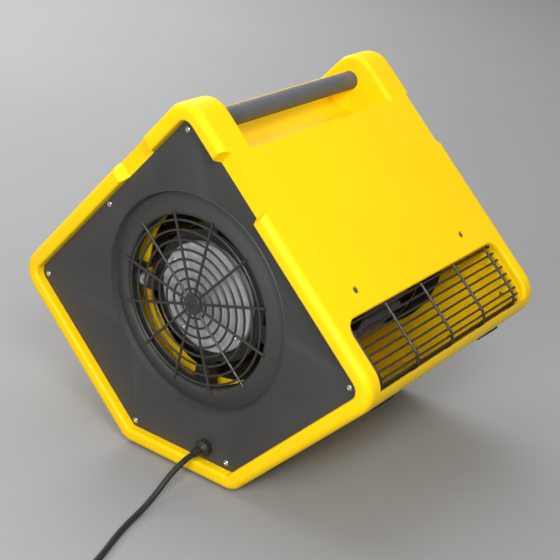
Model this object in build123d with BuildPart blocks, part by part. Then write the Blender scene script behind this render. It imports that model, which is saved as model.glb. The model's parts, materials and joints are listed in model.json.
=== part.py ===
"""Air mover: a radial blower in a moulded casing, standing on its 45 degree chamfered base.

Frame: +Z up, X along the fan axis, the outlet towards -Y, floor at Z = 0, origin at the bottom
centre of the casing's box. Millimetres.
Side profiles are drawn in (p, q): p runs from the fan axis towards the front face and q from the
fan axis towards the handle edge. Both are tilted 45 degrees, because the machine leans back.
"""
from build123d import *
from math import cos, degrees, pi, radians, sin, sqrt, tan
import os

os.makedirs("parts", exist_ok=True)

LEFT, RIGHT = 1, -1

# ---- casing profile, distances from the fan axis -------------------------------------------------
FRONT = 206.0
TOP = 214.0
BACK = 273.0
BOTTOM = 244.0
CHAMFER = 260.0
BIG_CORNER = 40.0
SMALL_CORNER = 30.0
HALF_WIDTH = 212.5
RIM = 23.3
RIM_ROUND = 11.0
LIP_ROUND = 5.0
NOTCH_DEEP = 2 * (RIM + 2)
WALL = 7.0

# ---- side walls and covers, distances along X from the middle ------------------------------------
COVER_FACE = 198.2
COVER_THICK = 4.0
COVER_GAP = 0.5
WALL_OUTER = COVER_FACE - COVER_THICK
WALL_INNER = WALL_OUTER - 6.0
INTAKE_OPENING = 161.0
ARRIS = 157.5
THROAT = 124.0

SCREW_HOLE = 2.3
SCREW_SHANK = 2.2
SCREW_HEAD = 4.2

# ---- feet and placing ----------------------------------------------------------------------------
FOOT_HEIGHT = 3.0
FOOT_SINK = 2.0
FOOT_RADIUS = 18.0
AXIS_Z = CHAMFER + FOOT_HEIGHT
CORNER_REACH = BIG_CORNER * (sqrt(2) - 1)
FRONT_MOST = (FRONT + BOTTOM) / sqrt(2) - CORNER_REACH
BACK_MOST = (BACK + TOP) / sqrt(2) - CORNER_REACH
AXIS_Y = (FRONT_MOST - BACK_MOST) / 2

# ---- handle --------------------------------------------------------------------------------------
SHOULDER_FACE = 157.4
HANDLE_P, HANDLE_Q = 164.0, 179.5
HANDLE_RADIUS = 13.7
HANDLE_BORE = 11.2
HANDLE_HALF = 186.0
TROUGH_CENTRE = 195.0
TROUGH_RADIUS = 81.0

# ---- outlet --------------------------------------------------------------------------------------
WINDOW_HALF = 186.0
WINDOW_CORNER = 20.0
WINDOW_ROUND = 3.0
WINDOW_TOP = -137.0
WINDOW_BOTTOM = -231.5
GUARD_P = 189.0
GUARD_TOP_WIRE = -140.0
GUARD_PITCH = 11.7
GUARD_BEND_P, GUARD_BEND_Q = 170.0, -210.0
FLANGE_TOP = -90.0
WIRE_RADIUS = 1.6
STAY_RADIUS = 2.0

# ---- fan and motor, distances along X from the middle, on the left half --------------------------
WHEEL_RADIUS = 152.0
WHEEL_HALF = 143.0
BLADE_COUNT = 36
BRACKET_FACE = 165.0
BRACKET_THICK = 5.0
MOTOR_RADIUS = 76.0
MOTOR_END = 60.0
CAP_RADIUS = 80.0
CAP_FACE = 174.0
SHAFT_RADIUS = 8.0
RUNNING_FIT = 0.03

SWITCH_P, SWITCH_Q = -190.0, 130.0
SWITCH_LONG, SWITCH_WIDE = 30.0, 22.0

# ---- cord ----------------------------------------------------------------------------------------
CORD_RADIUS = 4.25
CORD_LIFT = 4.4
GLAND_P, GLAND_Q = -132.0, -170.0
GLAND_THREAD = 8.0
GLAND_HEX = 12.5
GLAND_END = 226.0
COIL_MIDDLE = 51.0
COIL_PITCH = 8.55
COIL_TURNS = 4
COIL_SPARE = 0.5
COIL_X, COIL_Y = -516.5, -152.5

SIDE = Plane(origin=(0, AXIS_Y, AXIS_Z), x_dir=(0, -1, 1), z_dir=(-1, 0, 0))
FAN_AXIS = Axis((0, AXIS_Y, AXIS_Z), (1, 0, 0))
UP_P = Vector(0, -1, 1).normalized()
UP_Q = Vector(0, 1, 1).normalized()
CENTRE = Vector(0, AXIS_Y, AXIS_Z)
FACE = Plane(origin=CENTRE + UP_P * FRONT, x_dir=(1, 0, 0), z_dir=(0, -1, 1))


def save(part, name):
    """Label a finished piece and write its STEP file."""
    part.label = name
    export_step(part, f"parts/{name}.step")


def place(x, p, q):
    """World point of a place given by X and the tilted p and q."""
    return Vector(x, AXIS_Y + (q - p) / sqrt(2), AXIS_Z + (p + q) / sqrt(2))


def polar(radius, angle):
    """Point in (p, q) at a radius and an angle in degrees from the p direction."""
    return (radius * cos(radians(angle)), radius * sin(radians(angle)))


def house(inset):
    """Corner points and radii of the casing's house profile, moved inwards by inset."""
    front, top = FRONT - inset, TOP - inset
    back, bottom = BACK - inset, BOTTOM - inset
    slope = (CHAMFER - inset) * sqrt(2)
    corners = [(front, top), (front, -bottom), (bottom - slope, -bottom), (-back, back - slope), (-back, top)]
    radii = [BIG_CORNER, BIG_CORNER, SMALL_CORNER, SMALL_CORNER, BIG_CORNER]
    return corners, [max(radius - inset, 6.0) for radius in radii]


def house_outline(inset):
    """Closed outline of the house profile inside a BuildLine block."""
    corners, radii = house(inset)
    return FilletPolyline(*corners, radius=radii, close=True)


COVER_SCREWS = [(-38, 184), (-237, 176), (-239, -81), (-113, -205), (165, -207)]
FRONT_SCREWS = [(-137, -107), (122, -107)]
FEET_X = 136.0
BOTTOM_FEET = [(x, p) for x in (-FEET_X, FEET_X) for p in (-85, 140)]
BASE_FEET = [(x, y) for x in (-FEET_X, FEET_X) for y in (52, -92)]
ARM_ANGLES = [45, 135, 225, 300]
ARM_REACH = 176.0
PAD_INNER = 163.0
PAD_MIDDLE = (ARM_REACH + PAD_INNER) / 2
BASE = Plane(origin=(0, AXIS_Y, FOOT_HEIGHT), x_dir=(1, 0, 0), z_dir=(0, 0, -1))
UNDERSIDE = Plane(origin=CENTRE - UP_Q * BOTTOM, x_dir=(1, 0, 0), z_dir=(0, -1, -1))

# ---- casing --------------------------------------------------------------------------------------
with BuildPart() as casing:
    with BuildSketch(SIDE):
        with BuildLine():
            house_outline(0)
        make_face()
    extrude(amount=HALF_WIDTH, both=True)
    ends = casing.edges().group_by(Axis.X)
    fillet(ends[0] + ends[-1], RIM_ROUND)
    for hand in (LEFT, RIGHT):
        with BuildSketch(SIDE.offset(hand * WALL_OUTER)):
            with BuildLine():
                house_outline(RIM)
            make_face()
        extrude(amount=hand * RIM, mode=Mode.SUBTRACT)
    rims = casing.faces().sort_by(Axis.X)
    fillet(rims[0].inner_wires()[0].edges() + rims[-1].inner_wires()[0].edges(), LIP_ROUND)
    with BuildSketch(SIDE):
        with Locations((TROUGH_CENTRE, TROUGH_CENTRE)):
            Circle(TROUGH_RADIUS)
    extrude(amount=SHOULDER_FACE, both=True, mode=Mode.SUBTRACT)
    for side in (-1, 1):
        inner_face = casing.faces().filter_by(Axis.X).filter_by(
            lambda f: abs(f.center().X - side * SHOULDER_FACE) < 0.1)
        rounded = inner_face.edges().filter_by(lambda e: (e.center() - CENTRE).dot(UP_P + UP_Q) > 330)
        fillet(rounded, 7)
    # hollow inside, a separate bay behind each side cover
    with BuildSketch(SIDE):
        with BuildLine():
            house_outline(WALL)
        make_face()
        with Locations((TROUGH_CENTRE, TROUGH_CENTRE)):
            Circle(TROUGH_RADIUS + WALL, mode=Mode.SUBTRACT)
    extrude(amount=WALL_INNER, both=True, mode=Mode.SUBTRACT)
    # openings in the side walls, handle sockets and screw holes
    with BuildSketch(SIDE):
        Circle(INTAKE_OPENING)
    extrude(amount=HALF_WIDTH, both=True, mode=Mode.SUBTRACT)
    with BuildSketch(SIDE):
        with Locations((HANDLE_P, HANDLE_Q)):
            Circle(HANDLE_RADIUS + 0.1)
    extrude(amount=HANDLE_HALF + 1, both=True, mode=Mode.SUBTRACT)
    with BuildSketch(SIDE):
        with Locations(*COVER_SCREWS, (HANDLE_P, HANDLE_Q)):
            Circle(SCREW_HOLE)
    extrude(amount=HALF_WIDTH, both=True, mode=Mode.SUBTRACT)
    with BuildSketch(SIDE.offset(WALL_INNER - 2)):
        with Locations((GLAND_P, GLAND_Q)):
            Circle(GLAND_THREAD + 0.2)
    extrude(amount=RIM, mode=Mode.SUBTRACT)
    with BuildSketch(SIDE.offset(WALL_INNER - 2)):
        with Locations(*[polar(PAD_MIDDLE, angle) for angle in ARM_ANGLES]):
            Circle(SCREW_HOLE)
    extrude(amount=RIM / 2, mode=Mode.SUBTRACT)
    with BuildSketch(SIDE.offset(-WALL_OUTER - 2)):
        with Locations((SWITCH_P, SWITCH_Q)):
            Rectangle(SWITCH_WIDE + 4, SWITCH_LONG + 4)
    extrude(amount=RIM / 2, mode=Mode.SUBTRACT)
    # outlet window
    with BuildSketch(FACE.offset(5)):
        with BuildLine():
            FilletPolyline((-WINDOW_HALF, WINDOW_BOTTOM), (WINDOW_HALF, WINDOW_BOTTOM), (WINDOW_HALF, WINDOW_TOP),
                           (-WINDOW_HALF, WINDOW_TOP), radius=[0, 0, WINDOW_CORNER, WINDOW_CORNER], close=True)
        make_face()
    extrude(amount=-60, mode=Mode.SUBTRACT)
    window_edges = casing.edges().filter_by(lambda e: all(
        abs((e @ t - CENTRE).dot(UP_P) - FRONT) < 0.01 and abs((e @ t).X) < WINDOW_HALF + 0.1
        and (e @ t - CENTRE).dot(UP_Q) < WINDOW_TOP + 0.1 for t in (0, 0.5, 1)))
    fillet(window_edges, WINDOW_ROUND)
    # screw recesses in the front face and drain holes in the handle trough
    with Locations(*[FACE.location * Location((x, q, 0)) for x, q in FRONT_SCREWS]):
        CounterBoreHole(SCREW_HOLE, 5.2, 3.5, depth=12)
    with Locations(*[Plane(origin=place(x, 134, 142), z_dir=(0, 0, 1)).location for x in (-105, 105)]):
        Hole(4.0, depth=30)
    # grip notches in the rims of both sides, at the front edge and at the handle edge
    for hand in (LEFT, RIGHT):
        for middle, size in (((FRONT, 75), (NOTCH_DEEP, 84)), ((58, TOP), (64, NOTCH_DEEP))):
            flare = (0, 16) if middle[0] == FRONT else (22, 0)
            with BuildSketch(SIDE.offset(hand * COVER_FACE)):
                with Locations(middle):
                    Rectangle(*size)
            with BuildSketch(SIDE.offset(hand * (HALF_WIDTH + 1))):
                with Locations(middle):
                    Rectangle(size[0] + flare[0], size[1] + flare[1])
            loft(mode=Mode.SUBTRACT)
    # seats for the feet
    with BuildSketch(BASE):
        with Locations(*BASE_FEET):
            Circle(FOOT_RADIUS + 0.2)
    extrude(amount=-FOOT_SINK, mode=Mode.SUBTRACT)
    with BuildSketch(UNDERSIDE):
        with Locations(*BOTTOM_FEET):
            Circle(FOOT_RADIUS + 0.2)
    extrude(amount=-FOOT_SINK, mode=Mode.SUBTRACT)
save(casing.part, "casing")

# ---- scroll: the spiral duct between the side walls ------------------------------------------------
SCROLL_START, SCROLL_END = -38, 270
SCROLL_SMALL, SCROLL_LARGE = 160.0, 232.0
SCROLL_SKIN = 3.0
SCROLL_STEPS = 14
PLATE_FACE = 151.0
INLET_RADIUS = 129.0


def scroll_radius(angle):
    """Inside radius of the spiral, growing evenly with the angle."""
    share = (angle - SCROLL_START) / (SCROLL_END - SCROLL_START)
    return SCROLL_SMALL + (SCROLL_LARGE - SCROLL_SMALL) * share


spiral_angles = [SCROLL_START + (SCROLL_END - SCROLL_START) * i / SCROLL_STEPS for i in range(SCROLL_STEPS + 1)]
with BuildPart() as scroll:
    with BuildSketch(SIDE):
        with BuildLine():
            inside = Spline(*[polar(scroll_radius(a), a) for a in spiral_angles])
            outside = Spline(*[polar(scroll_radius(a) + SCROLL_SKIN, a) for a in spiral_angles])
            Line(inside @ 0, outside @ 0)
            Line(inside @ 1, outside @ 1)
        make_face()
        # floor of the outlet duct, up to the lip
        with BuildLine():
            Polyline((-4, -SCROLL_LARGE), (150, -SCROLL_LARGE), (150, -SCROLL_LARGE - SCROLL_SKIN),
                     (-4, -SCROLL_LARGE - SCROLL_SKIN), close=True)
        make_face()
        # roof of the outlet duct, from the tongue to the flange behind the front face
        inner_front = FRONT - WALL
        with BuildLine():
            Polyline(polar(SCROLL_SMALL + 1.5, SCROLL_START + 3), polar(SCROLL_SMALL, SCROLL_START - 1.5),
                     polar(SCROLL_SMALL - 1, SCROLL_START - 11), (inner_front, WINDOW_TOP + 1),
                     (inner_front, FLANGE_TOP), (inner_front - 4, FLANGE_TOP), (inner_front - 4, WINDOW_TOP + 6),
                     polar(SCROLL_SMALL + SCROLL_SKIN + 4, SCROLL_START + 4), close=True)
        make_face()
    extrude(amount=WALL_INNER, both=True)
    # side plate with the inlet, on the motor side
    with BuildSketch(SIDE.offset(PLATE_FACE - SCROLL_SKIN)):
        with BuildLine():
            rim = Spline(*[polar(scroll_radius(a) + SCROLL_SKIN / 2, a) for a in spiral_angles])
            Polyline(rim @ 1, (60, -200), (115, -125), rim @ 0)
        make_face()
        Circle(INLET_RADIUS, mode=Mode.SUBTRACT)
    extrude(amount=SCROLL_SKIN)
    with Locations(*[FACE.offset(-WALL).location * Location((x, q, 0)) for x, q in FRONT_SCREWS]):
        Hole(SCREW_HOLE, depth=8)
    with BuildSketch(SIDE.offset(WALL_INNER - 9)):
        with Locations((GLAND_P, GLAND_Q)):
            Circle(GLAND_HEX + 1)
    extrude(amount=9, mode=Mode.SUBTRACT)
save(scroll.part, "scroll")

# ---- side covers with the intake ring --------------------------------------------------------------
def side_plate(hand):
    """Flat plate of a side cover with its sunk, rounded intake ring, inside a BuildPart block."""
    with BuildSketch(SIDE.offset(hand * WALL_OUTER)) as plate:
        with BuildLine():
            house_outline(RIM + COVER_GAP)
        make_face()
        Circle(ARRIS + 0.5, mode=Mode.SUBTRACT)
    extrude(plate.sketch, amount=hand * COVER_THICK)
    with BuildSketch(Plane(origin=CENTRE, x_dir=(-hand, 0, 0), z_dir=(0, 0, hand))) as ring:
        with BuildLine():
            arris = Polyline((WALL_OUTER, 160), (COVER_FACE, 160), (COVER_FACE + 1.2, 158.6),
                             (COVER_FACE + 1.2, ARRIS))
            steep = Line(arris @ 1, (COVER_FACE - 7.5, ARRIS - 3))
            crown = Spline(steep @ 1, (COVER_FACE - 4.4, 145), (COVER_FACE - 0.8, 135), (COVER_FACE + 0.3, 130))
            roll = Spline(crown @ 1, (COVER_FACE - 1.6, 125.6), (COVER_FACE - 6, THROAT))
            Polyline(roll @ 1, (COVER_FACE - 18, THROAT), (COVER_FACE - 18, THROAT + 2.5),
                     (COVER_FACE - 7, THROAT + 3), (COVER_FACE - 5.5, 136), (COVER_FACE - 9, 149),
                     (COVER_FACE - 10, 157), (WALL_OUTER, 160))
        make_face()
    revolve(ring.sketch, axis=FAN_AXIS)
    with BuildSketch(SIDE.offset(hand * WALL_OUTER)) as holes:
        with Locations(*COVER_SCREWS, (HANDLE_P, HANDLE_Q)):
            Circle(SCREW_HOLE)
    extrude(holes.sketch, amount=hand * 2 * COVER_THICK, mode=Mode.SUBTRACT)


with BuildPart() as left_side_cover:
    side_plate(LEFT)
    with BuildSketch(SIDE.offset(WALL_OUTER)):
        with Locations((GLAND_P, GLAND_Q)):
            Circle(GLAND_THREAD + 0.2)
    extrude(amount=2 * COVER_THICK, mode=Mode.SUBTRACT)
save(left_side_cover.part, "left_side_cover")

with BuildPart() as right_side_cover:
    side_plate(RIGHT)
    with BuildSketch(SIDE.offset(-WALL_OUTER)):
        with Locations((SWITCH_P, SWITCH_Q)):
            Rectangle(SWITCH_WIDE + 0.4, SWITCH_LONG + 0.4)
    extrude(amount=-2 * COVER_THICK, mode=Mode.SUBTRACT)
save(right_side_cover.part, "right_side_cover")

# ---- intake guards: twelve spokes over concentric rings ---------------------------------------------
GRILLE_WIRE = 1.7
SPOKE_RADIUS = 2.0
GRILLE_RINGS = [22 + 13.7 * i for i in range(8)]
GRILLE_HUB = 15.0
GRILLE_X = COVER_FACE + 1.2
SPOKE_END = 131.0


for hand, word in ((LEFT, "left"), (RIGHT, "right")):
    with BuildPart() as grille:
        with BuildSketch(Plane(origin=CENTRE, x_dir=(-hand, 0, 0), z_dir=(0, 0, hand))):
            for radius in GRILLE_RINGS:
                with Locations((GRILLE_X - 1.6, radius)):
                    Circle(GRILLE_WIRE)
        revolve(axis=FAN_AXIS)
        with BuildSketch(SIDE.offset(hand * (GRILLE_X - 3.5))):
            Circle(GRILLE_HUB)
        hub = extrude(amount=hand * 6)
        fillet(hub.faces().sort_by(Axis.X)[0 if hand == LEFT else -1].edges(), 2)
        for angle in range(0, 360, 30):
            across, up = polar(1, angle)
            spoke = UP_P * across + UP_Q * up
            with BuildSketch(Plane(origin=place(-hand * GRILLE_X, 0, 0) + spoke * 8, z_dir=spoke)):
                Circle(SPOKE_RADIUS)
            extrude(amount=SPOKE_END - 8)
        with BuildSketch(SIDE.offset(hand * (GRILLE_X + 1.6))):
            Circle(5)
        extrude(amount=hand * 2, mode=Mode.SUBTRACT)
    save(grille.part, f"{word}_intake_guard")

# ---- outlet guard: welded wires that curl in under the lip -------------------------------------------
GUARD_WIRE_HALF = 190.0
BEND_RADIUS = GUARD_P - GUARD_BEND_P
BEND_TURNS = [-30, -60, -88]
STAYS = [-171, -85.5, 0, 85.5, 171]
with BuildPart() as outlet_guard:
    with BuildSketch(SIDE):
        with Locations(*[(GUARD_P, GUARD_TOP_WIRE - GUARD_PITCH * i) for i in range(7)]):
            Circle(WIRE_RADIUS)
        for turn in BEND_TURNS:
            across, down = polar(BEND_RADIUS, turn)
            with Locations((GUARD_BEND_P + across, GUARD_BEND_Q + down)):
                Circle(WIRE_RADIUS)
    extrude(amount=GUARD_WIRE_HALF, both=True)
    stay_p = GUARD_P + WIRE_RADIUS + STAY_RADIUS - 0.3
    stay_bend = stay_p - GUARD_BEND_P
    for x in STAYS:
        with BuildLine(SIDE.offset(-x)):
            Line((stay_p, WINDOW_TOP - 1), (stay_p, GUARD_BEND_Q))
            CenterArc((GUARD_BEND_P, GUARD_BEND_Q), stay_bend, 0, -92)
        with BuildSketch(Plane(origin=place(x, stay_p, WINDOW_TOP - 1), z_dir=UP_Q)):
            Circle(STAY_RADIUS)
        sweep()
save(outlet_guard.part, "outlet_guard")

# ---- handle -----------------------------------------------------------------------------------------
with BuildPart() as handle_tube:
    with BuildSketch(SIDE):
        with Locations((HANDLE_P, HANDLE_Q)):
            Circle(HANDLE_RADIUS)
            Circle(HANDLE_BORE, mode=Mode.SUBTRACT)
    extrude(amount=HANDLE_HALF, both=True)
save(handle_tube.part, "handle_tube")

with BuildPart() as handle_end_plugs:
    for hand in (LEFT, RIGHT):
        with BuildSketch(SIDE.offset(hand * (HANDLE_HALF - 25))):
            with Locations((HANDLE_P, HANDLE_Q)):
                Circle(HANDLE_BORE)
                Circle(SCREW_SHANK, mode=Mode.SUBTRACT)
        extrude(amount=hand * 25)
save(handle_end_plugs.part, "handle_end_plugs")


# ---- fasteners --------------------------------------------------------------------------------------
def screw(plane, shank):
    """Domed cross-head screw: the head stands on the plane and the shank runs behind it."""
    with BuildSketch(plane) as disc_face:
        Circle(SCREW_HEAD)
    dome = extrude(disc_face.sketch, amount=2.4)
    fillet(dome.edges().sort_by(lambda e: (e.center() - plane.origin).dot(plane.z_dir))[-1], 1.6)
    with BuildSketch(plane) as stem_face:
        Circle(SCREW_SHANK)
    extrude(stem_face.sketch, amount=-shank)
    with BuildSketch(plane.offset(1.2)) as cross:
        Rectangle(4.4, 1.0)
        Rectangle(1.0, 4.4)
    extrude(cross.sketch, amount=3, mode=Mode.SUBTRACT)


def on_side(hand, x, p, q):
    """Plane on a side at a distance x from the middle, facing away from the casing."""
    return Plane(origin=place(-hand * x, p, q), x_dir=UP_P, z_dir=(-hand, 0, 0))


for hand, word in ((LEFT, "left"), (RIGHT, "right")):
    with BuildPart() as cover_screws:
        for p, q in COVER_SCREWS:
            screw(on_side(hand, COVER_FACE, p, q), 14)
    save(cover_screws.part, f"{word}_cover_screws")

with BuildPart() as handle_screws:
    for hand in (LEFT, RIGHT):
        screw(on_side(hand, COVER_FACE, HANDLE_P, HANDLE_Q), 30)
save(handle_screws.part, "handle_screws")

with BuildPart() as front_screws:
    for x, q in FRONT_SCREWS:
        screw(Plane(origin=place(x, FRONT - 3.5, q), x_dir=(1, 0, 0), z_dir=UP_P), 9)
save(front_screws.part, "front_screws")

# ---- motor and its bracket, on the left side -----------------------------------------------------------
ARM_WIDTH = 26.0
BUSH_HEIGHT = 6.0
BUSH_RADIUS = 6.4
CAP_SCREW_RADIUS = 70.0
BRACKET_BACK = BRACKET_FACE - BRACKET_THICK


def disc(near, far, outer, inner=0.0, mode=Mode.ADD):
    """Round disc or ring about the fan axis between two distances on the left half."""
    with BuildSketch(SIDE.offset(near)) as ring:
        Circle(outer)
        if inner:
            Circle(inner, mode=Mode.SUBTRACT)
    return extrude(ring.sketch, amount=far - near, mode=mode)


def through_holes(near, far, places, radius):
    """Round holes at (p, q) places between two distances on the left half."""
    with BuildSketch(SIDE.offset(near)) as holes:
        with Locations(*places):
            Circle(radius)
    extrude(holes.sketch, amount=far - near, mode=Mode.SUBTRACT)


arm_pads = [polar(PAD_MIDDLE, a) for a in ARM_ANGLES]
cap_holes = [polar(CAP_SCREW_RADIUS, a) for a in (10, 100, 190, 280)]
with BuildPart() as motor_bracket:
    disc(BRACKET_BACK, BRACKET_FACE, 96, 60)
    with BuildSketch(SIDE.offset(BRACKET_BACK)):
        for angle in ARM_ANGLES:
            with Locations(Location(polar((ARM_REACH + 88) / 2, angle), angle)):
                Rectangle(ARM_REACH - 88, ARM_WIDTH)
    extrude(amount=BRACKET_THICK)
    with BuildSketch(SIDE.offset(BRACKET_BACK)):
        for angle in ARM_ANGLES:
            with Locations(Location(polar(PAD_MIDDLE, angle), angle)):
                Rectangle(ARM_REACH - PAD_INNER, ARM_WIDTH)
    extrude(amount=WALL_INNER - BUSH_HEIGHT - BRACKET_BACK)
    through_holes(BRACKET_BACK, WALL_INNER, arm_pads, SCREW_HOLE)
    through_holes(BRACKET_BACK, WALL_INNER, cap_holes, SCREW_HOLE)
save(motor_bracket.part, "motor_bracket")

with BuildPart() as bracket_bushes:
    with BuildSketch(SIDE.offset(WALL_INNER - BUSH_HEIGHT)):
        with Locations(*arm_pads):
            Circle(BUSH_RADIUS)
            Circle(SCREW_HOLE, mode=Mode.SUBTRACT)
    extrude(amount=BUSH_HEIGHT)
save(bracket_bushes.part, "bracket_bushes")

with BuildPart() as bracket_screws:
    for angle in ARM_ANGLES:
        p, q = polar(PAD_MIDDLE, angle)
        screw(Plane(origin=place(-BRACKET_BACK, p, q), x_dir=UP_P, z_dir=(1, 0, 0)), 31)
save(bracket_screws.part, "bracket_screws")

BEARING_RADIUS = 20.0
BEARING_WIDTH = 12.0
CAN_SKIN = 3.0
with BuildPart() as motor_housing:
    disc(MOTOR_END, BRACKET_BACK, MOTOR_RADIUS)
    disc(MOTOR_END + 5, BRACKET_BACK, MOTOR_RADIUS - CAN_SKIN, mode=Mode.SUBTRACT)
    disc(MOTOR_END, MOTOR_END + BEARING_WIDTH + 6, BEARING_RADIUS + 4)
    disc(MOTOR_END + 6, MOTOR_END + BEARING_WIDTH + 6, BEARING_RADIUS, mode=Mode.SUBTRACT)
    disc(MOTOR_END, MOTOR_END + 6, SHAFT_RADIUS + 1.5, mode=Mode.SUBTRACT)
    fillet(motor_housing.edges().filter_by(GeomType.CIRCLE).filter_by(
        lambda e: abs(e.radius - MOTOR_RADIUS) < 0.01).sort_by(Axis.X)[-1], 6)
save(motor_housing.part, "motor_housing")

with BuildPart() as motor_end_cap:
    disc(BRACKET_FACE, CAP_FACE, CAP_RADIUS)
    disc(BRACKET_FACE - BEARING_WIDTH - 2, BRACKET_FACE, BEARING_RADIUS + 4)
    disc(BRACKET_FACE - BEARING_WIDTH - 2, BRACKET_FACE - 2, BEARING_RADIUS, mode=Mode.SUBTRACT)
    disc(BRACKET_FACE - 2, BRACKET_FACE + 3, SHAFT_RADIUS + 1.5, mode=Mode.SUBTRACT)
    through_holes(BRACKET_FACE, CAP_FACE, cap_holes, SCREW_HOLE)
    fillet(motor_end_cap.edges().filter_by(GeomType.CIRCLE).filter_by(
        lambda e: abs(e.radius - CAP_RADIUS) < 0.01).sort_by(Axis.X)[0], 3)
save(motor_end_cap.part, "motor_end_cap")

with BuildPart() as end_cap_screws:
    for p, q in cap_holes:
        screw(on_side(LEFT, CAP_FACE, p, q), 18)
save(end_cap_screws.part, "end_cap_screws")

STATOR_NEAR, STATOR_FAR = 88.0, 138.0
STATOR_BORE = 44.0
with BuildPart() as stator_core:
    disc(STATOR_NEAR, STATOR_FAR, MOTOR_RADIUS - CAN_SKIN, STATOR_BORE)
    with BuildSketch(SIDE.offset(STATOR_NEAR)):
        with PolarLocations(STATOR_BORE + 8, 24):
            SlotOverall(13, 4)
    extrude(amount=STATOR_FAR - STATOR_NEAR, mode=Mode.SUBTRACT)
save(stator_core.part, "stator_core")

with BuildPart() as stator_windings:
    for near, far in ((STATOR_NEAR - 10, STATOR_NEAR), (STATOR_FAR, STATOR_FAR + 10)):
        ring = disc(near, far, STATOR_BORE + 20, STATOR_BORE + 3)
        fillet(ring.edges(), 3)
save(stator_windings.part, "stator_windings")

with BuildPart() as rotor_core:
    disc(STATOR_NEAR, STATOR_FAR, STATOR_BORE - 0.5, SHAFT_RADIUS)
    disc(STATOR_NEAR - 3, STATOR_NEAR, STATOR_BORE - 2, STATOR_BORE - 12)
    disc(STATOR_FAR, STATOR_FAR + 3, STATOR_BORE - 2, STATOR_BORE - 12)
save(rotor_core.part, "rotor_core")

HUB_HALF = 16.0
HUB_RADIUS = 20.0
with BuildPart() as motor_shaft:
    disc(-HUB_HALF - 6, BRACKET_FACE + 1, SHAFT_RADIUS)
    chamfer(motor_shaft.edges().filter_by(GeomType.CIRCLE), 1)
    with BuildSketch(SIDE.offset(-HUB_HALF - 6)):
        with Locations((0, SHAFT_RADIUS)):
            Rectangle(20, 2.4)
    extrude(amount=2 * HUB_HALF + 6, mode=Mode.SUBTRACT)
save(motor_shaft.part, "motor_shaft")

for near, name in ((BRACKET_FACE - BEARING_WIDTH - 2, "rear_bearing"), (MOTOR_END + 6, "front_bearing")):
    with BuildPart() as bearing:
        disc(near, near + BEARING_WIDTH, BEARING_RADIUS, SHAFT_RADIUS + RUNNING_FIT)
        with BuildSketch(SIDE.offset(near)):
            Circle(BEARING_RADIUS - 4)
            Circle(SHAFT_RADIUS + 4, mode=Mode.SUBTRACT)
        extrude(amount=1, mode=Mode.SUBTRACT)
        with BuildSketch(SIDE.offset(near + BEARING_WIDTH)):
            Circle(BEARING_RADIUS - 4)
            Circle(SHAFT_RADIUS + 4, mode=Mode.SUBTRACT)
        extrude(amount=-1, mode=Mode.SUBTRACT)
    save(bearing.part, name)

# ---- fan wheel --------------------------------------------------------------------------------------
WHEEL_PLATE = 3.0
HUB_FLANGE = 48.0
hub_bolts = [polar(36, a) for a in (30, 120, 210, 300)]
with BuildPart() as wheel_hub:
    disc(-HUB_HALF, HUB_HALF, HUB_RADIUS, SHAFT_RADIUS)
    disc(WHEEL_PLATE / 2, WHEEL_PLATE / 2 + 4, HUB_FLANGE, SHAFT_RADIUS)
    through_holes(0, 10, hub_bolts, SCREW_HOLE)
    with Locations(Plane(origin=place(-10.5, 0, HUB_RADIUS), z_dir=UP_Q)):
        Hole(2.5, depth=HUB_RADIUS - SHAFT_RADIUS + 1)
save(wheel_hub.part, "wheel_hub")

with BuildPart() as hub_set_screw:
    with BuildSketch(Plane(origin=place(-10.5, 0, SHAFT_RADIUS - 1.2 + 0.05), z_dir=UP_Q)):
        Circle(2.45)
        RegularPolygon(1.2, 6, mode=Mode.SUBTRACT)
    extrude(amount=9)
save(hub_set_screw.part, "hub_set_screw")

with BuildPart() as hub_screws:
    for p, q in hub_bolts:
        screw(on_side(LEFT, WHEEL_PLATE / 2 + 4, p, q), 11)
save(hub_screws.part, "hub_screws")

BLADE_INNER = 124.0
BLADE_TIP = WHEEL_RADIUS - 1.5
END_RING = 5.0
with BuildPart() as wheel_plate:
    disc(-WHEEL_PLATE / 2, WHEEL_PLATE / 2, WHEEL_RADIUS, HUB_RADIUS + 0.5)
    through_holes(-WHEEL_PLATE, WHEEL_PLATE, hub_bolts, SCREW_HOLE)
save(wheel_plate.part, "wheel_plate")

with BuildPart() as wheel_blades:
    with BuildSketch(SIDE):
        with BuildLine():
            ThreePointArc(polar(BLADE_INNER, 0), polar(137, 1.2), polar(BLADE_TIP, 7))
            RadiusArc(polar(BLADE_TIP, 7), polar(BLADE_TIP, 7.8), BLADE_TIP)
            ThreePointArc(polar(BLADE_TIP, 7.8), polar(137, 2.1), polar(BLADE_INNER, 1))
            Line(polar(BLADE_INNER, 1), polar(BLADE_INNER, 0))
        blade = make_face()
        for number in range(1, BLADE_COUNT):
            add(blade.rotate(Axis.Z, number * 360 / BLADE_COUNT))
    extrude(amount=WHEEL_HALF, both=True)
save(wheel_blades.part, "wheel_blades")

with BuildPart() as wheel_rings:
    disc(WHEEL_HALF - END_RING, WHEEL_HALF, WHEEL_RADIUS, WHEEL_RADIUS - 11)
    disc(-WHEEL_HALF, -WHEEL_HALF + END_RING, WHEEL_RADIUS, WHEEL_RADIUS - 11)
save(wheel_rings.part, "wheel_rings")

# ---- electrics --------------------------------------------------------------------------------------
BOX_ANGLE, CAPACITOR_ANGLE = 225, 135
with BuildPart() as terminal_box:
    with BuildSketch(SIDE.offset(BRACKET_FACE)):
        with Locations(Location(polar(126, BOX_ANGLE), BOX_ANGLE)):
            RectangleRounded(40, 26, 3)
    box_solid = extrude(amount=14)
    fillet(box_solid.faces().sort_by(Axis.X)[0].edges(), 1.5)
save(terminal_box.part, "terminal_box")

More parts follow.
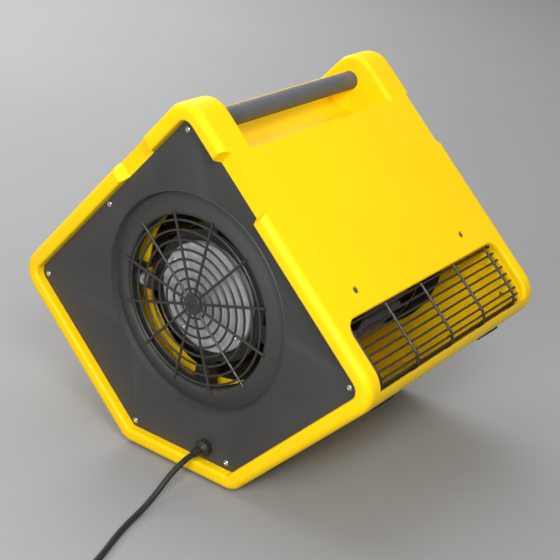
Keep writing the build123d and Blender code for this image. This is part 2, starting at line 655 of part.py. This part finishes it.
CAPACITOR_RADIUS = 12.0
with BuildPart() as capacitor:
    along = Vector(*polar(1, CAPACITOR_ANGLE))
    seat = Vector(*polar(CAP_RADIUS + 1.5, CAPACITOR_ANGLE))
    can_dir = UP_P * along.X + UP_Q * along.Y
    with BuildSketch(Plane(origin=place(-BRACKET_FACE - 1.5 - CAPACITOR_RADIUS, seat.X, seat.Y), z_dir=can_dir)):
        Circle(CAPACITOR_RADIUS)
    can_body = extrude(amount=38)
    fillet(can_body.edges().filter_by(GeomType.CIRCLE), 1.5)
save(capacitor.part, "capacitor")

with BuildPart() as capacitor_clip:
    clip_at = Vector(*polar(CAP_RADIUS + 13, CAPACITOR_ANGLE))
    clip_middle = place(-BRACKET_FACE - 1.5 - CAPACITOR_RADIUS, clip_at.X, clip_at.Y)
    with BuildSketch(Plane(origin=clip_middle, x_dir=(-1, 0, 0), z_dir=can_dir)):
        Rectangle(CAPACITOR_RADIUS + 3, 2 * CAPACITOR_RADIUS + 3, align=(Align.MAX, Align.CENTER))
        Circle(CAPACITOR_RADIUS + 1.5)
        with Locations((-CAPACITOR_RADIUS - 0.75, 0)):
            Rectangle(1.5, 2 * CAPACITOR_RADIUS + 3)
        with Locations((CAPACITOR_RADIUS + 1.5, 0)):
            Rectangle(3, 4, align=(Align.MIN, Align.CENTER), mode=Mode.SUBTRACT)
        Circle(CAPACITOR_RADIUS, mode=Mode.SUBTRACT)
        with Locations((-CAPACITOR_RADIUS - 1.5, 0)):
            Rectangle(10, 60, align=(Align.MAX, Align.CENTER), mode=Mode.SUBTRACT)
    extrude(amount=14)
save(capacitor_clip.part, "capacitor_clip")

# rocker switch in the right cover
PIN_DEPTH = 3.0
ROCKER_LONG, ROCKER_WIDE = 23.0, 15.4
ROCKER_TILT = 8.0
switch_seat = place(COVER_FACE, SWITCH_P, SWITCH_Q)
SWITCH_FACE = Plane(origin=switch_seat, x_dir=UP_Q, z_dir=(1, 0, 0))
PIN_PLANE = Plane(origin=switch_seat - Vector(PIN_DEPTH - 2, 0, 0), x_dir=UP_Q, z_dir=-UP_P)
with BuildPart() as switch_body:
    with BuildSketch(SWITCH_FACE):
        RectangleRounded(SWITCH_LONG + 5, SWITCH_WIDE + 5, 2)
    extrude(amount=2)
    with BuildSketch(SWITCH_FACE):
        Rectangle(SWITCH_LONG, SWITCH_WIDE)
    extrude(amount=-24)
    with BuildSketch(SWITCH_FACE.offset(2)):
        Rectangle(ROCKER_LONG + 1.6, ROCKER_WIDE + 1.0)
    extrude(amount=-10, mode=Mode.SUBTRACT)
    with BuildSketch(PIN_PLANE):
        Circle(1.2)
    extrude(amount=(ROCKER_WIDE + 5) / 2, both=True, mode=Mode.SUBTRACT)
save(switch_body.part, "switch_body")

with BuildPart() as switch_pin:
    with BuildSketch(PIN_PLANE):
        Circle(1.2)
    extrude(amount=(ROCKER_WIDE + 5) / 2, both=True)
save(switch_pin.part, "switch_pin")

with BuildPart() as switch_rocker:
    with BuildSketch(PIN_PLANE):
        end = ROCKER_LONG / 2
        Polygon((end, 2), (0, 4), (-end, 2), (-end, -4.4), (0, -2.6), (end, -4.4),
                rotation=ROCKER_TILT, align=None)
        Circle(1.2 + 0.05, mode=Mode.SUBTRACT)
    extrude(amount=ROCKER_WIDE / 2, both=True)
save(switch_rocker.part, "switch_rocker")

# ---- cable gland --------------------------------------------------------------------------------------
with BuildPart() as gland_body:
    with BuildSketch(SIDE.offset(COVER_FACE)):
        with Locations((GLAND_P, GLAND_Q)):
            RegularPolygon(GLAND_HEX, 6)
    extrude(amount=5)
    with BuildSketch(SIDE.offset(WALL_INNER - 8)):
        with Locations((GLAND_P, GLAND_Q)):
            Circle(GLAND_THREAD)
    extrude(amount=COVER_FACE + 10 - WALL_INNER + 8)
    with BuildSketch(SIDE.offset(WALL_INNER - 9)):
        with Locations((GLAND_P, GLAND_Q)):
            Circle(CORD_RADIUS + 1.0)
    extrude(amount=60, mode=Mode.SUBTRACT)
save(gland_body.part, "gland_body")

NUT_FACE = COVER_FACE + 5
gland_axis = Axis(place(0, GLAND_P, GLAND_Q), (1, 0, 0))
GLAND_SECTION = Plane(origin=place(0, GLAND_P, GLAND_Q), x_dir=(-1, 0, 0), z_dir=(0, 0, 1))
with BuildPart() as gland_nut:
    with BuildSketch(GLAND_SECTION):
        with BuildLine():
            FilletPolyline((NUT_FACE, GLAND_THREAD), (NUT_FACE, 12.8), (NUT_FACE + 6, 12.8), (NUT_FACE + 9.5, 7.6),
                           (GLAND_END, 5.9), (GLAND_END, CORD_RADIUS), (NUT_FACE + 5, CORD_RADIUS),
                           (NUT_FACE + 5, GLAND_THREAD), radius=[0, 0.8, 2.5, 3, 0.8, 0, 0, 0], close=True)
        make_face()
    revolve(axis=gland_axis)
save(gland_nut.part, "gland_nut")

with BuildPart() as gland_locknut:
    with BuildSketch(SIDE.offset(WALL_INNER - 5)):
        with Locations((GLAND_P, GLAND_Q)):
            RegularPolygon(GLAND_HEX, 6)
            Circle(GLAND_THREAD, mode=Mode.SUBTRACT)
    extrude(amount=5)
save(gland_locknut.part, "gland_locknut")

# ---- feet ---------------------------------------------------------------------------------------------
for plane, spots, name in ((BASE, BASE_FEET, "base_feet"), (UNDERSIDE, BOTTOM_FEET, "bottom_feet")):
    with BuildPart() as feet:
        with BuildSketch(plane.offset(-FOOT_SINK)):
            with Locations(*spots):
                Circle(FOOT_RADIUS)
        extrude(amount=FOOT_SINK + FOOT_HEIGHT)
        fillet(feet.faces().filter_by(lambda f: (f.center() - plane.origin).dot(plane.z_dir) > 2.5).edges(), 1)
    save(feet.part, name)


# ---- mains cord -----------------------------------------------------------------------------------------
def cord_tube(points, name):
    """Tube of the cord's section along straight runs joined by tangent arcs."""
    route = [Vector(*point) for point in points]
    runs = [b - a for a, b in zip(route, route[1:])]
    radii = []
    for before, after in zip(runs, runs[1:]):
        turn = radians(before.get_angle(after))
        radii.append(0.45 * min(before.length, after.length) / tan(turn / 2))
    with BuildPart() as tube:
        with BuildLine() as path:
            FilletPolyline(*route, radius=radii)
        with BuildSketch(Plane(origin=route[0], z_dir=runs[0])):
            Circle(CORD_RADIUS)
        sweep()
    length = sum(edge.length for edge in path.line.edges())
    section = pi * CORD_RADIUS ** 2
    print(name, "radii", [round(r) for r in radii], "length", round(length, 1),
          "volume ratio", round(tube.part.volume / (section * length), 4))
    save(tube.part, name)


gland_mouth = place(-GLAND_END, GLAND_P, GLAND_Q)
CORD_ROUTE = [
    (-GLAND_END + 12, gland_mouth.Y, gland_mouth.Z),
    (-253, gland_mouth.Y, gland_mouth.Z),
    (-307, -34, 6.5),
    (-372, -46, CORD_LIFT),
    (-441, -72, CORD_LIFT),
    (-492, -82, CORD_LIFT),
    (-524, -84.5, CORD_LIFT),
]
TAIL_ROUTE = [
    (-581.9, -171.6, CORD_LIFT + COIL_PITCH),
    (-574.6, -196.6, 14.0),
    (-559.6, -222.6, 17.3),
    (-542.2, -241.9, 18.0),
]
cord_tube(CORD_ROUTE, "mains_cord")
cord_tube(TAIL_ROUTE, "cord_tail")

COIL_INNER = COIL_MIDDLE - COIL_TURNS / 2 * COIL_PITCH - CORD_RADIUS - COIL_SPARE
COIL_OUTER = COIL_MIDDLE + COIL_TURNS / 2 * COIL_PITCH + CORD_RADIUS + COIL_SPARE
with BuildPart() as cord_coil:
    with BuildSketch(Plane(origin=(COIL_X, COIL_Y, CORD_LIFT - CORD_RADIUS))):
        Circle(COIL_OUTER)
        Circle(COIL_INNER, mode=Mode.SUBTRACT)
    extrude(amount=2 * CORD_RADIUS + COIL_PITCH)
    fillet(cord_coil.edges().filter_by(GeomType.CIRCLE), 3)
save(cord_coil.part, "cord_coil")

tail_end, tail_before = Vector(*TAIL_ROUTE[-1]), Vector(*TAIL_ROUTE[-2])
plug_dir = (tail_end - tail_before).normalized()
PLUG_RADIUS = 18.0
PLUG_SLEEVE = 26.0
PLUG_LENGTH = 62.0
plug_start = tail_end - plug_dir * 14
plug_side = plug_dir.cross(Vector(0, 0, 1)).normalized()
with BuildPart() as plug_body:
    with BuildSketch(Plane(origin=plug_start, x_dir=plug_dir, z_dir=plug_side)):
        with BuildLine():
            FilletPolyline((0, CORD_RADIUS), (0, 6.2), (PLUG_SLEEVE, 8.5), (PLUG_SLEEVE + 8, PLUG_RADIUS - 3),
                           (PLUG_LENGTH - 14, PLUG_RADIUS - 2), (PLUG_LENGTH - 12, PLUG_RADIUS),
                           (PLUG_LENGTH, PLUG_RADIUS), (PLUG_LENGTH, 0), (14, 0), (14, CORD_RADIUS),
                           radius=[0, 1, 3, 6, 1, 1, 2, 0, 0, 0], close=True)
        make_face()
    revolve(axis=Axis(plug_start, plug_dir))
    with Locations(Plane(origin=plug_start + plug_dir * PLUG_LENGTH, x_dir=plug_side, z_dir=plug_dir)):
        with Locations((-9.5, 0), (9.5, 0)):
            Hole(2.4, depth=12)
save(plug_body.part, "plug_body")

with BuildPart() as plug_pins:
    with BuildSketch(Plane(origin=plug_start + plug_dir * (PLUG_LENGTH - 12), x_dir=plug_side, z_dir=plug_dir)):
        with Locations((-9.5, 0), (9.5, 0)):
            Circle(2.4)
    extrude(amount=31)
    fillet(plug_pins.faces().sort_by(lambda f: (f.center() - plug_start).dot(plug_dir))[-2:].edges(), 1)
save(plug_pins.part, "plug_pins")
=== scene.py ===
"""Air mover in a plain studio: camera, mains lead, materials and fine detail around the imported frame."""
import json
import math
import bmesh
import bpy
from mathutils import Matrix, Quaternion, Vector


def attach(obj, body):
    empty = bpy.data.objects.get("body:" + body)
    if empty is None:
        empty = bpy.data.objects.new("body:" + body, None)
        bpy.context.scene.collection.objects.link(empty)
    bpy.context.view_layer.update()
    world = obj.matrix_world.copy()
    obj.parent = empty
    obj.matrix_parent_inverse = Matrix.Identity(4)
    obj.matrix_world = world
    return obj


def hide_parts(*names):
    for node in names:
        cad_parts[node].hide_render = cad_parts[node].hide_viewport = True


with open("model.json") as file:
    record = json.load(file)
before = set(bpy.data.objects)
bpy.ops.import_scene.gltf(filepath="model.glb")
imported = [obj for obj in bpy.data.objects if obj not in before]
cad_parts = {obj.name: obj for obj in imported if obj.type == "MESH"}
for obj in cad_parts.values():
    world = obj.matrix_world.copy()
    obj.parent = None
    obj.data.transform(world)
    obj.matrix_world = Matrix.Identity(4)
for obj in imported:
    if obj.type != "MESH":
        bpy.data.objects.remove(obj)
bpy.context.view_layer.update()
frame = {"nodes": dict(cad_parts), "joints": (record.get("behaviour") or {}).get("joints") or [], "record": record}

MM = 0.001
SPIN = next(joint for joint in frame["joints"] if joint["name"] == "fan_spin")
AXIS = Vector(SPIN["pos_m"])
UP_P = Vector((0, -1, 1)).normalized()
UP_Q = Vector((0, 1, 1)).normalized()
HOUSING, ROTOR, ROCKER = "housing", "rotor", "rocker"


def place(x, p, q):
    """Point x mm along the fan axis, p mm towards the front face and q mm towards the top face."""
    return AXIS + Vector((x, 0, 0)) * MM + (UP_P * p + UP_Q * q) * MM


# ---- camera ------------------------------------------------------------------------------------------
CAMERA_PLACE = Vector((-1.2824, -0.9948, 0.9538))
CAMERA_TARGET = Vector((-0.0519, -0.0470, 0.2612))
CAMERA_ROLL = 2.32
CAMERA_LENS = 76.6


def make_camera():
    data = bpy.data.cameras.new("camera")
    data.lens = CAMERA_LENS
    data.sensor_width = 36.0
    data.clip_end = 50.0
    camera = bpy.data.objects.new("camera", data)
    bpy.context.scene.collection.objects.link(camera)
    look = (CAMERA_TARGET - CAMERA_PLACE).to_track_quat("-Z", "Y")
    roll = Quaternion((0, 0, 1), math.radians(CAMERA_ROLL))
    camera.rotation_mode = "QUATERNION"
    camera.rotation_quaternion = look @ roll
    camera.location = CAMERA_PLACE
    bpy.context.scene.camera = camera


# ---- mains lead --------------------------------------------------------------------------------------
CORD_RADIUS = 4.25
CORD_LIFT = 4.4
GLAND_END = 226.0
GLAND_P, GLAND_Q = -132.0, -170.0
COIL_MIDDLE = 51.0
COIL_PITCH = 8.55
COIL_CENTRE = (-516.5, -152.5)
COIL_TURNS = 4
COIL_START = 96.3
COIL_CLIMB = 100.0
COIL_POINTS = 18
gland = place(0, GLAND_P, GLAND_Q) / MM
LEAD_ROUTE = [
    (-GLAND_END + 12, gland.y, gland.z),
    (-253, gland.y, gland.z),
    (-307, -34, 6.5),
    (-372, -46, CORD_LIFT),
    (-441, -72, CORD_LIFT),
    (-492, -82, CORD_LIFT),
]
TAIL_ROUTE = [
    (-574.6, -196.6, 14.0),
    (-559.6, -222.6, 17.3),
    (-542.2, -241.9, 18.0),
]


def coil_route():
    """Turns of the stored coil: a flat spiral inwards, a climb, and a spiral outwards on top of it."""
    widen = 1 / (0.75 + 0.25 * math.cos(math.tau / COIL_POINTS))
    spiral = COIL_TURNS * 360
    inner = COIL_MIDDLE - COIL_TURNS / 2 * COIL_PITCH
    outer = COIL_MIDDLE + COIL_TURNS / 2 * COIL_PITCH
    total = 2 * spiral + COIL_CLIMB
    count = round(total / 360 * COIL_POINTS)
    points = []
    for i in range(count + 1):
        turned = total * i / count
        if turned <= spiral:
            radius, lift = outer - COIL_PITCH * turned / 360, 0
        elif turned <= spiral + COIL_CLIMB:
            radius, lift = inner, COIL_PITCH * (turned - spiral) / COIL_CLIMB
        else:
            radius, lift = inner + COIL_PITCH * (turned - spiral - COIL_CLIMB) / 360, COIL_PITCH
        angle = math.radians(COIL_START + turned)
        points.append((COIL_CENTRE[0] + widen * radius * math.cos(angle),
                       COIL_CENTRE[1] + widen * radius * math.sin(angle), CORD_LIFT + lift))
    return points


def make_lead():
    curve = bpy.data.curves.new("mains_lead", "CURVE")
    curve.dimensions = "3D"
    curve.bevel_depth = 1.0
    curve.bevel_resolution = 6
    curve.resolution_u = 6
    curve.use_fill_caps = True
    spline = curve.splines.new("NURBS")
    route = LEAD_ROUTE + coil_route() + TAIL_ROUTE
    spline.points.add(len(route) - 1)
    for point, (x, y, z) in zip(spline.points, route):
        point.co = (x * MM, y * MM, z * MM, 1)
        point.radius = CORD_RADIUS * MM
    spline.order_u = 3
    spline.use_endpoint_u = True
    lead = bpy.data.objects.new("mains_lead", curve)
    bpy.context.scene.collection.objects.link(lead)
    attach(lead, HOUSING)
    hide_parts("mains_cord", "cord_coil", "cord_tail")
    return lead


# ---- fine detail -------------------------------------------------------------------------------------
GUARD_P = 189.0
GUARD_TOP_WIRE = -140.0
GUARD_PITCH = 11.7
GUARD_WIRES = 7
STAYS = (-171, -85.5, 0, 85.5, 171)
WIRE_RADIUS = 1.6
BEAD_RADIUS = 2.6
BEAD_STRETCH = (1.5, 0.8, 1.0, 1.0)


def make_weld_beads(material):
    """A small flattened bead of weld where each outlet guard wire crosses a stay."""
    mesh = bpy.data.meshes.new("guard_welds")
    shape = bmesh.new()
    for x in STAYS:
        for number in range(GUARD_WIRES):
            spot = place(x, GUARD_P + WIRE_RADIUS, GUARD_TOP_WIRE - GUARD_PITCH * number)
            flat = Matrix.Diagonal(BEAD_STRETCH)
            bmesh.ops.create_icosphere(shape, subdivisions=2, radius=BEAD_RADIUS * MM,
                                       matrix=Matrix.Translation(spot) @ flat)
    shape.to_mesh(mesh)
    shape.free()
    for polygon in mesh.polygons:
        polygon.use_smooth = True
    beads = bpy.data.objects.new("guard_welds", mesh)
    bpy.context.scene.collection.objects.link(beads)
    mesh.materials.append(material)
    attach(beads, HOUSING)


# ---- materials ---------------------------------------------------------------------------------------
class Finish:
    """A node material with helpers for the layers that most finishes share."""

    def __init__(self, name, colour, rough, metallic=0.0, specular=0.5):
        self.material = bpy.data.materials.new(name)
        self.material.use_nodes = True
        self.tree = self.material.node_tree
        self.shader = self.tree.nodes["Principled BSDF"]
        self.shader.inputs["Base Color"].default_value = (*colour, 1)
        self.shader.inputs["Roughness"].default_value = rough
        self.shader.inputs["Metallic"].default_value = metallic
        self.shader.inputs["Specular IOR Level"].default_value = specular
        self.coords = self.tree.nodes.new("ShaderNodeTexCoord").outputs["Object"]

    def link(self, output, node, socket):
        self.tree.links.new(output, node.inputs[socket])

    def stretched(self, stretch):
        """Object coordinates scaled along each axis, for grain that runs one way."""
        mapping = self.tree.nodes.new("ShaderNodeMapping")
        mapping.inputs["Scale"].default_value = stretch
        self.link(self.coords, mapping, "Vector")
        return mapping.outputs["Vector"]

    def noise(self, size_mm, detail=3.0, rough=0.5, stretch=None):
        node = self.tree.nodes.new("ShaderNodeTexNoise")
        node.inputs["Scale"].default_value = 1000 / size_mm
        node.inputs["Detail"].default_value = detail
        node.inputs["Roughness"].default_value = rough
        self.link(self.stretched(stretch) if stretch else self.coords, node, "Vector")
        return node.outputs["Fac"]

    def cells(self, size_mm):
        node = self.tree.nodes.new("ShaderNodeTexVoronoi")
        node.feature = "SMOOTH_F1"
        node.inputs["Scale"].default_value = 1000 / size_mm
        self.link(self.coords, node, "Vector")
        return node.outputs["Distance"]

    def ramp(self, source, low, high, start=0.3, end=0.7):
        node = self.tree.nodes.new("ShaderNodeMapRange")
        node.inputs["From Min"].default_value = start
        node.inputs["From Max"].default_value = end
        node.inputs["To Min"].default_value = low
        node.inputs["To Max"].default_value = high
        self.link(source, node, "Value")
        return node.outputs["Result"]

    def vary_roughness(self, size_mm, low, high, stretch=None):
        self.link(self.ramp(self.noise(size_mm, stretch=stretch), low, high), self.shader, "Roughness")

    def layer_colour(self, source, colour):
        """Mix another colour over whatever feeds the base colour."""
        mix = self.tree.nodes.new("ShaderNodeMix")
        mix.data_type = "RGBA"
        base = self.shader.inputs["Base Color"]
        if base.is_linked:
            self.tree.links.new(base.links[0].from_socket, mix.inputs["A"])
        else:
            mix.inputs["A"].default_value = base.default_value
        mix.inputs["B"].default_value = (*colour, 1)
        self.tree.links.new(source, mix.inputs["Factor"])
        self.tree.links.new(mix.outputs["Result"], base)

    def bump(self, source, depth_mm, strength=1.0):
        """Stack a height over whatever feeds the normal."""
        node = self.tree.nodes.new("ShaderNodeBump")
        node.inputs["Strength"].default_value = strength
        node.inputs["Distance"].default_value = depth_mm * MM
        self.link(source, node, "Height")
        normal = self.shader.inputs["Normal"]
        if normal.is_linked:
            self.tree.links.new(normal.links[0].from_socket, node.inputs["Normal"])
        self.tree.links.new(node.outputs["Normal"], normal)

    def edges(self):
        """Pointiness of the surface: above half on outer edges, below it in creases."""
        return self.tree.nodes.new("ShaderNodeNewGeometry").outputs["Pointiness"]


def yellow_plastic(name, colour, shade):
    finish = Finish(name, colour, 0.46, specular=0.14)
    finish.layer_colour(finish.ramp(finish.noise(160, detail=2), 0.0, 0.5), shade)
    finish.layer_colour(finish.ramp(finish.noise(0.9, detail=1), 0.0, 0.10), shade)
    # painted shade: where pointiness falls below half, in creases and recesses, the yellow is mixed towards the
    # darker shade colour to stand in for shade
    finish.layer_colour(finish.ramp(finish.edges(), 0.35, 0.0, 0.44, 0.49), shade)
    finish.vary_roughness(38, 0.36, 0.50)
    finish.bump(finish.noise(22, detail=2), 0.35, 0.30)
    finish.bump(finish.noise(1.1, detail=2), 0.05, 0.55)
    return finish.material


def grained_plastic(name, colour, light, rough=0.55, grain=1.2, depth=0.07):
    finish = Finish(name, colour, rough, specular=0.42)
    finish.layer_colour(finish.ramp(finish.noise(1.0, detail=2), 0.0, 0.35), light)
    finish.layer_colour(finish.ramp(finish.noise(90, detail=2), 0.0, 0.40), light)
    finish.layer_colour(finish.ramp(finish.edges(), 0.0, 0.9, 0.52, 0.60), light)
    finish.vary_roughness(26, rough - 0.07, rough + 0.07)
    finish.bump(finish.cells(grain), depth, 0.6)
    finish.bump(finish.noise(0.5, detail=2), depth / 2, 0.5)
    return finish.material


def coated_metal(name, colour, light, rough=0.45, metallic=0.0):
    finish = Finish(name, colour, rough, metallic)
    finish.layer_colour(finish.ramp(finish.noise(12, detail=4), 0.0, 0.4), light)
    finish.vary_roughness(6, rough - 0.08, rough + 0.10)
    finish.bump(finish.noise(0.7, detail=2), 0.04, 0.6)
    return finish.material


def bare_metal(name, colour, dark, rough=0.30, grain=2.0, stretch=None):
    finish = Finish(name, colour, rough, metallic=1.0)
    finish.layer_colour(finish.ramp(finish.noise(grain * 6, detail=4), 0.0, 0.6), dark)
    finish.vary_roughness(grain, rough - 0.08, rough + 0.14, stretch)
    finish.bump(finish.noise(grain / 2, detail=3, stretch=stretch), 0.03, 0.5)
    return finish.material


def rubber(name, colour, light, rough=0.68):
    finish = Finish(name, colour, rough, specular=0.35)
    finish.layer_colour(finish.ramp(finish.noise(7, detail=4), 0.0, 0.5), light)
    finish.layer_colour(finish.ramp(finish.edges(), 0.0, 0.6, 0.52, 0.60), light)
    finish.vary_roughness(9, rough - 0.10, rough + 0.08)
    finish.bump(finish.noise(0.6, detail=3), 0.05, 0.6)
    return finish.material


def foam_grip(name, colour, light):
    finish = Finish(name, colour, 0.62, specular=0.4)
    finish.layer_colour(finish.ramp(finish.noise(1.0, detail=3), 0.0, 0.55), light)
    finish.layer_colour(finish.ramp(finish.noise(30, detail=2), 0.0, 0.30), light)
    finish.vary_roughness(14, 0.52, 0.70)
    finish.bump(finish.cells(0.8), 0.06, 0.6)
    return finish.material


def cast_metal(name, colour, dark):
    finish = Finish(name, colour, 0.5, metallic=0.35)
    finish.layer_colour(finish.ramp(finish.noise(2.4, detail=5, rough=0.7), 0.0, 0.6), dark)
    finish.layer_colour(finish.ramp(finish.noise(40, detail=2), 0.0, 0.35), dark)
    finish.vary_roughness(4, 0.42, 0.62)
    finish.bump(finish.noise(1.6, detail=4, rough=0.7), 0.12, 0.7)
    return finish.material


def wound_copper(name):
    finish = Finish(name, (0.42, 0.16, 0.06), 0.38, metallic=0.4)
    finish.layer_colour(finish.ramp(finish.noise(3, detail=3), 0.0, 0.7), (0.20, 0.07, 0.03))
    finish.bump(finish.noise(1.0, detail=1, stretch=(0.2, 1, 1)), 0.3, 0.8)
    return finish.material


def laminated_steel(name):
    finish = Finish(name, (0.20, 0.20, 0.21), 0.45, metallic=0.9)
    along = (1, 0.02, 0.02)
    finish.layer_colour(finish.ramp(finish.noise(0.8, detail=0, stretch=along), 0.0, 0.8), (0.06, 0.06, 0.06))
    finish.bump(finish.noise(0.8, detail=0, stretch=along), 0.1, 0.7)
    return finish.material


def gloss_plastic(name, colour, dark):
    finish = Finish(name, colour, 0.18, specular=0.55)
    finish.layer_colour(finish.ramp(finish.noise(9, detail=2), 0.0, 0.4), dark)
    finish.vary_roughness(5, 0.14, 0.26)
    finish.bump(finish.noise(4, detail=1), 0.03, 0.3)
    return finish.material


def make_materials():
    return {
        # the second yellow is the darker tone used both for random mottling and for painted shade in creases
        "yellow_plastic": yellow_plastic("casing_yellow", (0.93, 0.60, 0.002), (0.88, 0.54, 0.002)),
        "black_plastic": grained_plastic("cover_black", (0.029, 0.029, 0.028), (0.046, 0.046, 0.044)),
        "wheel_plastic": grained_plastic("wheel_black", (0.013, 0.013, 0.013), (0.024, 0.024, 0.023), 0.45),
        "wire_black": coated_metal("wire_coat", (0.024, 0.021, 0.017), (0.040, 0.035, 0.028), 0.38),
        "handle_coat": foam_grip("handle_grip", (0.080, 0.084, 0.090), (0.116, 0.121, 0.128)),
        "screw_steel": bare_metal("zinc", (0.78, 0.78, 0.77), (0.48, 0.48, 0.48), 0.24, 0.6),
        "screw_black": coated_metal("dull_zinc", (0.16, 0.145, 0.125), (0.26, 0.24, 0.21), 0.35, 0.6),
        "bracket_black": coated_metal("bracket_coat", (0.012, 0.012, 0.012), (0.022, 0.022, 0.022), 0.5),
        "motor_metal": cast_metal("cast_alloy", (0.56, 0.56, 0.54), (0.40, 0.40, 0.385)),
        "core_steel": laminated_steel("laminations"),
        "winding_copper": wound_copper("windings"),
        "shaft_steel": bare_metal("ground_steel", (0.62, 0.62, 0.62), (0.45, 0.45, 0.45), 0.22, 0.5,
                                  (0.1, 1, 1)),
        "rubber_black": rubber("foot_rubber", (0.013, 0.013, 0.013), (0.028, 0.028, 0.027)),
        "cable_black": rubber("lead_sheath", (0.014, 0.014, 0.013), (0.022, 0.022, 0.021), 0.55),
        "gland_black": grained_plastic("gland_plastic", (0.012, 0.012, 0.012), (0.024, 0.024, 0.023), 0.48,
                                       0.8),
        "rocker_red": gloss_plastic("rocker_gloss", (0.50, 0.012, 0.008), (0.36, 0.008, 0.006)),
        "capacitor_sleeve": grained_plastic("capacitor_sleeve", (0.012, 0.012, 0.013),
                                            (0.022, 0.022, 0.023), 0.6),
        "pin_metal": bare_metal("nickel", (0.76, 0.74, 0.70), (0.55, 0.53, 0.49), 0.2, 0.5),
    }


def dress_nodes(materials):
    """Give every carried-over node the finish its material slot names."""
    for part in frame["record"]["subparts"]:
        piece = frame["nodes"][part["node"]]
        for slot in piece.material_slots:
            slot.material = materials[part["material_slot"]]


# ---- stage and light ---------------------------------------------------------------------------------
FLOOR_HALF = 9.0


def make_floor():
    mesh = bpy.data.meshes.new("floor")
    corners = [(x * FLOOR_HALF, y * FLOOR_HALF, 0) for x, y in ((-1, -1), (1, -1), (1, 1), (-1, 1))]
    mesh.from_pydata(corners, [], [(0, 1, 2, 3)])
    floor = bpy.data.objects.new("floor", mesh)
    bpy.context.scene.collection.objects.link(floor)
    finish = Finish("studio_floor", (0.27, 0.27, 0.27), 0.65, specular=0.15)
    finish.layer_colour(finish.ramp(finish.noise(500, detail=1), 0.0, 0.3), (0.255, 0.255, 0.255))
    mesh.materials.append(finish.material)


def area_light(name, spot, target, size, power, colour=(1, 1, 1)):
    data = bpy.data.lights.new(name, "AREA")
    data.shape = "RECTANGLE"
    data.size, data.size_y = size
    data.energy = power
    data.color = colour
    light = bpy.data.objects.new(name, data)
    bpy.context.scene.collection.objects.link(light)
    light.location = spot
    light.rotation_euler = (Vector(target) - Vector(spot)).to_track_quat("-Z", "Y").to_euler()


def make_lights():
    middle = (0, 0, 0.3)
    area_light("key", (-1.5, -1.8, 2.2), middle, (0.9, 0.9), 50)
    area_light("top", (0.2, 0.6, 2.6), middle, (2.2, 2.2), 34)
    area_light("left_fill", (-2.6, 0.4, 1.2), middle, (1.6, 1.6), 10)
    area_light("intake", (-1.7, -0.7, 0.95), (-0.2, -0.01, 0.26), (0.4, 0.4), 18)
    area_light("back", (1.4, 3.0, 2.2), (1.4, 2.4, 0), (3.6, 1.6), 130)
    world = bpy.data.worlds.new("studio")
    world.use_nodes = True
    world.node_tree.nodes["Background"].inputs["Color"].default_value = (0.9, 0.92, 0.95, 1)
    world.node_tree.nodes["Background"].inputs["Strength"].default_value = 0.36
    bpy.context.scene.world = world
    bpy.context.scene.view_settings.view_transform = "Standard"


make_camera()
lead = make_lead()
materials = make_materials()
lead.data.materials.append(materials["cable_black"])
make_weld_beads(materials["wire_black"])
dress_nodes(materials)
make_floor()
make_lights()
